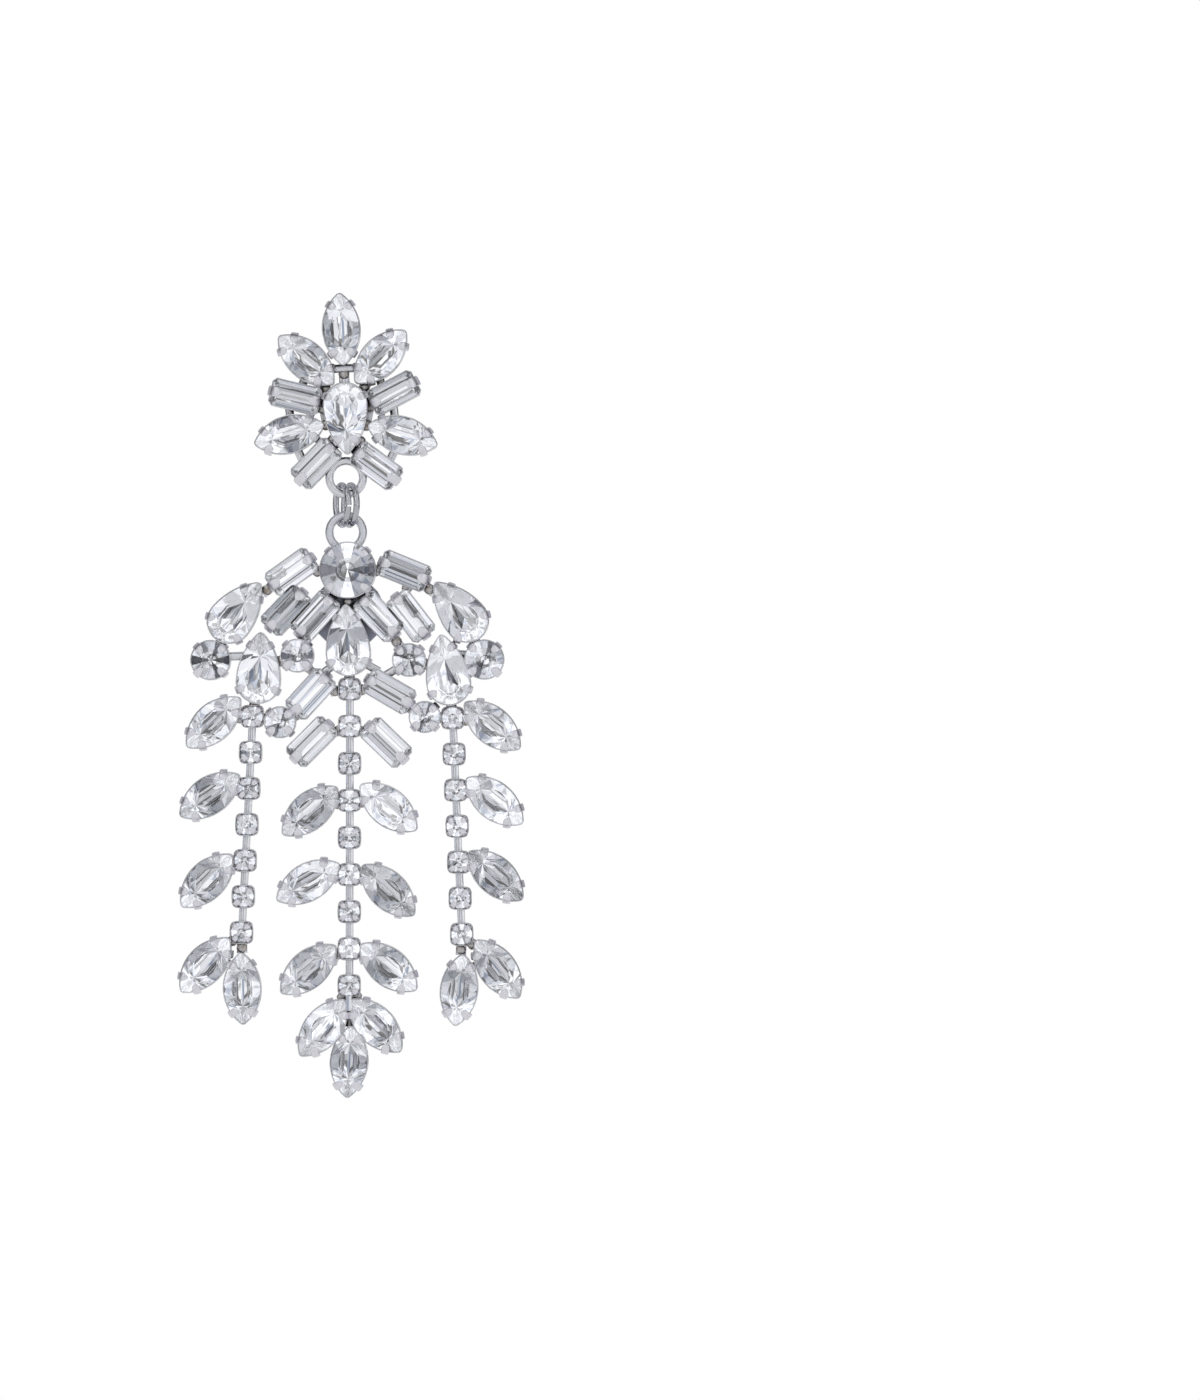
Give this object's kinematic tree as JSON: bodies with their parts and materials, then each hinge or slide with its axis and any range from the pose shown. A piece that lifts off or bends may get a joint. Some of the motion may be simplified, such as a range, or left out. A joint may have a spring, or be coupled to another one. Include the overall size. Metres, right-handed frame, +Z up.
{
  "type": "chandelier earring",
  "caption": "Chandelier drop earring: claw-set stone stud on a post, two jump rings, and a wide stone-set drop with chains that end in leaf-shaped stones.",
  "frame": {"origin": "middle of the ear pad's rear face, where the ear lobe bears and the post starts", "axes": "+Y along the post, away from the stones; +Z up, from the drop to the stud; the stones face -Y"},
  "size_m": [0.0384, 0.0154, 0.0889],
  "materials": {
    "silver_plate": "bright silver-coloured plating on pressed and soldered metal settings",
    "bright_wire": "bright plated round wire",
    "clear_stone": "clear cut glass with a mirror foil on the back facets",
    "set_chain": "bright plated settings with clear foiled stones fused in",
    "slate_plate": "plain dull slate-grey plate"
  },
  "bodies": {
    "stud": {"stud_pear": "clear_stone", "stud_top_navette": "clear_stone", "stud_upper_left_navette": "clear_stone", "stud_upper_right_navette": "clear_stone", "stud_upper_left_baguette": "clear_stone", "stud_upper_right_baguette": "clear_stone", "stud_lower_left_navette": "clear_stone", "stud_lower_right_navette": "clear_stone", "stud_lower_left_baguette": "clear_stone", "stud_lower_right_baguette": "clear_stone", "stud_frame": "silver_plate", "ear_post": "silver_plate"},
    "rings": {"jump_ring_left": "bright_wire", "jump_ring_right": "bright_wire"},
    "drop": {"large_round": "clear_stone", "centre_pear": "clear_stone", "centre_head_round": "clear_stone", "wing_left_baguette": "clear_stone", "wing_right_baguette": "clear_stone", "inner_left_baguette": "clear_stone", "inner_right_baguette": "clear_stone", "second_left_baguette": "clear_stone", "second_right_baguette": "clear_stone", "outer_left_pear": "clear_stone", "outer_right_pear": "clear_stone", "inner_left_round": "clear_stone", "inner_right_round": "clear_stone", "outer_left_round": "clear_stone", "outer_right_round": "clear_stone", "lower_left_pear": "clear_stone", "lower_right_pear": "clear_stone", "lower_left_baguette": "clear_stone", "lower_right_baguette": "clear_stone", "left_head_round": "clear_stone", "right_head_round": "clear_stone", "left_bridge_round": "clear_stone", "right_bridge_round": "clear_stone", "left_shoulder_navette": "clear_stone", "right_shoulder_navette": "clear_stone", "drop_frame": "silver_plate", "back_disc": "slate_plate", "left_strand": "set_chain", "centre_strand": "set_chain", "right_strand": "set_chain"}
  },
  "joints": [
    {"name": "ring_swing", "type": "hinge", "parent": "stud", "child": "rings", "pos_m": [0, -0.00195, -0.00929], "axis": [1, 0, 0], "range_deg": [-40, 40]},
    {"name": "drop_sway", "type": "hinge", "parent": "rings", "child": "drop", "pos_m": [0, -0.00195, -0.01269], "axis": [0, 1, 0], "range_deg": [-18, 18]}
  ]
}
